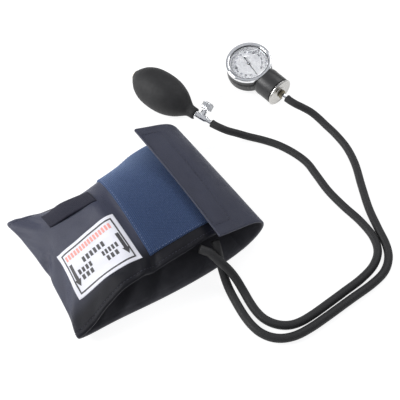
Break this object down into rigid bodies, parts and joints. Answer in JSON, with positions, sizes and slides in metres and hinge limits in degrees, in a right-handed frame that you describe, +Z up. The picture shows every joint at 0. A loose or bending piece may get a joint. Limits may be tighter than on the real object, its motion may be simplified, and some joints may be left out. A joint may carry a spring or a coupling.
{
  "type": "upper arm blood pressure monitor",
  "caption": "Manual aneroid blood pressure monitor: an inflatable upper arm cuff closed into a flattened loop, with hoses to a squeeze bulb with release valve and to a round dial gauge.",
  "frame": {"origin": "centre of the footprint of the cuff, bulb and gauge, on the table; the hoses are not counted", "axes": "+X from the cuff towards the gauge, +Y along the arm from the cuff's front edge (where the hoses leave) to its back edge, +Z up"},
  "size_m": [0.3393, 0.3353, 0.0611],
  "materials": {
    "nylon": "woven navy nylon, slight sheen",
    "loop_pile": "ribbed blue loop pile",
    "hook_tape": "navy hook tape",
    "label": "printed white cloth",
    "hose_rubber": "matt black",
    "bulb_rubber": "matt black with a soft sheen",
    "chrome": "polished",
    "brass": "plain",
    "steel": "plain",
    "case_paint": "satin black",
    "dial": "matt white",
    "lens": "clear",
    "pointer_paint": "dark grey"
  },
  "bodies": {
    "cuff_bulb_and_gauge": {"cuff_sleeve": "nylon", "air_bladder": "hose_rubber", "bulb_port": "hose_rubber", "gauge_port": "hose_rubber", "loop_patch": "loop_pile", "instruction_label": "label", "gauge_strap": "nylon", "hose_to_bulb": "hose_rubber", "hose_to_gauge": "hose_rubber", "bulb": "bulb_rubber", "inlet_valve_body": "brass", "inlet_filter_gauze": "steel", "release_valve_body": "chrome", "screw_seal_ring": "hose_rubber", "gauge_case": "case_paint", "bezel": "chrome", "lens": "lens", "lens_gasket": "hose_rubber", "dial_plate": "dial", "dial_screw_1": "steel", "dial_screw_2": "steel", "cap_gasket": "hose_rubber", "end_cap": "chrome", "cap_nut": "brass", "hose_nipple": "chrome", "back_hook": "steel", "hook_screw": "steel", "movement_plate_front": "brass", "movement_plate_back": "brass", "movement_pillar_1": "brass", "movement_pillar_2": "brass", "movement_pillar_3": "brass", "hairspring": "steel", "capsule_base": "brass"},
    "flap": {"cuff_flap": "nylon", "hook_patch": "hook_tape"},
    "inlet_ball": {"inlet_check_ball": "steel"},
    "outlet_disc": {"outlet_check_disc": "hose_rubber"},
    "needle": {"valve_needle": "steel"},
    "knob": {"release_screw": "steel", "release_knob": "chrome"},
    "sector": {"sector_gear": "brass", "sector_arbor": "steel", "sector_crank": "brass"},
    "pointer": {"pointer": "pointer_paint", "pointer_cap": "pointer_paint", "pinion": "steel"},
    "capsule": {"capsule_front": "brass", "push_rod": "steel"}
  },
  "joints": [
    {"name": "flap_hinge", "type": "hinge", "parent": "cuff_bulb_and_gauge", "child": "flap", "pos_m": [0.02839, -0.04387, 0.02394], "axis": [-0.0198, 0.9998, 0.0102], "range_deg": [0, 100]},
    {"name": "inlet_ball_slide", "type": "slide", "parent": "cuff_bulb_and_gauge", "child": "inlet_ball", "axis": [0.2752, -0.9598, -0.0558], "range_m": [0, 0.0015]},
    {"name": "outlet_disc_slide", "type": "slide", "parent": "cuff_bulb_and_gauge", "child": "outlet_disc", "axis": [0.3524, -0.9327, -0.0767], "range_m": [0, 0.0018]},
    {"name": "needle_slide", "type": "slide", "parent": "cuff_bulb_and_gauge", "child": "needle", "axis": [0.7907, 0.2529, 0.5575], "range_m": [0, 0.0015]},
    {"name": "knob_turn", "type": "hinge", "parent": "needle", "child": "knob", "pos_m": [0.06823, 0.03262, 0.02484], "axis": [0.7907, 0.2529, 0.5575], "range_deg": [0, 540.5]},
    {"name": "sector_turn", "type": "hinge", "parent": "cuff_bulb_and_gauge", "child": "sector", "pos_m": [0.1416, 0.04057, 0.01734], "axis": [-0.2286, -0.0903, 0.9693], "range_deg": [0, 40.38]},
    {"name": "pointer_turn", "type": "hinge", "parent": "cuff_bulb_and_gauge", "child": "pointer", "pos_m": [0.14278, 0.05744, 0.01919], "axis": [-0.2286, -0.0903, 0.9693], "range_deg": [-324, 0]},
    {"name": "capsule_stroke", "type": "slide", "parent": "cuff_bulb_and_gauge", "child": "capsule", "axis": [-0.132, 0.9894, 0.061], "range_m": [0, 0.00248]}
  ],
  "couplings": [
    {"joint": "knob_turn", "follows": "needle_slide", "rad_per_m": 6283.2},
    {"joint": "sector_turn", "follows": "capsule_stroke", "rad_per_m": 283.61},
    {"joint": "pointer_turn", "follows": "capsule_stroke", "rad_per_m": -2268.9}
  ]
}
